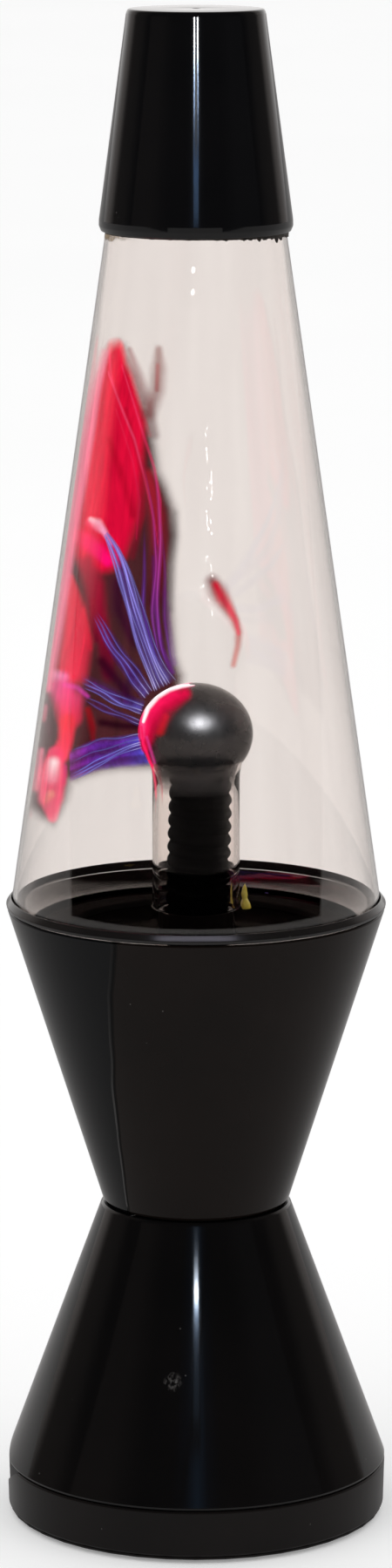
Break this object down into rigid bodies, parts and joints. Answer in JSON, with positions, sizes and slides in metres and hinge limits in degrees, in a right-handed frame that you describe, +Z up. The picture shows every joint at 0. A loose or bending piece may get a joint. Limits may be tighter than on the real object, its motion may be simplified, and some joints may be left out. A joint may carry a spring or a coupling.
{
  "type": "plasma lamp",
  "caption": "Lava-lamp-shaped plasma lamp: tall conical glass vessel with an electrode ball on a glass post, gloss black cap and waisted base, with a slide switch.",
  "frame": {"origin": "centre of the footprint, on the table plane under the rubber feet", "axes": "+Z up along the lamp's axis, -Y towards the front, inlet and switch at -X and a little behind it"},
  "size_m": [0.087, 0.0872, 0.344],
  "materials": {
    "gloss_black": "high gloss black",
    "satin_black": "satin black",
    "matte_black": "matte black",
    "rubber_black": "matte",
    "clear_glass": "clear, slight warm grey tint",
    "smoky_coating": "thin smoky conductive lining",
    "sealant_black": "rough",
    "steel": "plated",
    "aluminium": "plain",
    "brass": "polished",
    "insulation_yellow": "plain",
    "board_green": "plain",
    "ferrite_grey": "sintered",
    "sleeve_blue": "plain",
    "insulation_red": "plain"
  },
  "bodies": {
    "lamp": {"base_band": "satin_black", "bezel_ring": "satin_black", "board_screw_1": "steel", "board_screw_2": "steel", "board_screw_3": "steel", "bottom_cover": "satin_black", "bottom_screw_1": "steel", "bottom_screw_2": "steel", "bottom_screw_3": "steel", "bottom_screw_4": "steel", "cap": "gloss_black", "cap_sealant": "sealant_black", "contact_wool": "steel", "control_panel": "matte_black", "dc_jack": "matte_black", "dc_jack_pin": "brass", "driver_board": "board_green", "electrode_lining": "smoky_coating", "exhaust_tip": "insulation_yellow", "filter_capacitor": "sleeve_blue", "foot_1": "rubber_black", "foot_2": "rubber_black", "foot_3": "rubber_black", "foot_4": "rubber_black", "glass_post": "clear_glass", "glass_seat": "satin_black", "glass_vessel": "clear_glass", "heat_sink": "aluminium", "ht_lead": "insulation_yellow", "lower_cone": "gloss_black", "post_collar": "satin_black", "ribbed_sleeve": "rubber_black", "seat_gasket": "rubber_black", "supply_lead_black": "rubber_black", "supply_lead_red": "insulation_red", "switch_body": "steel", "switch_lead_red": "insulation_red", "timing_capacitor": "sleeve_blue", "transformer_coil": "insulation_yellow", "transformer_core": "ferrite_grey", "transistor": "matte_black", "upper_cone": "gloss_black", "waist_screw_1": "steel", "waist_screw_2": "steel", "waist_screw_3": "steel"},
    "slider": {"switch_slider": "matte_black"}
  },
  "joints": [
    {"name": "power_slide", "type": "slide", "parent": "lamp", "child": "slider", "axis": [-0.5, -0.866, 0], "range_m": [0, 0.004]}
  ]
}
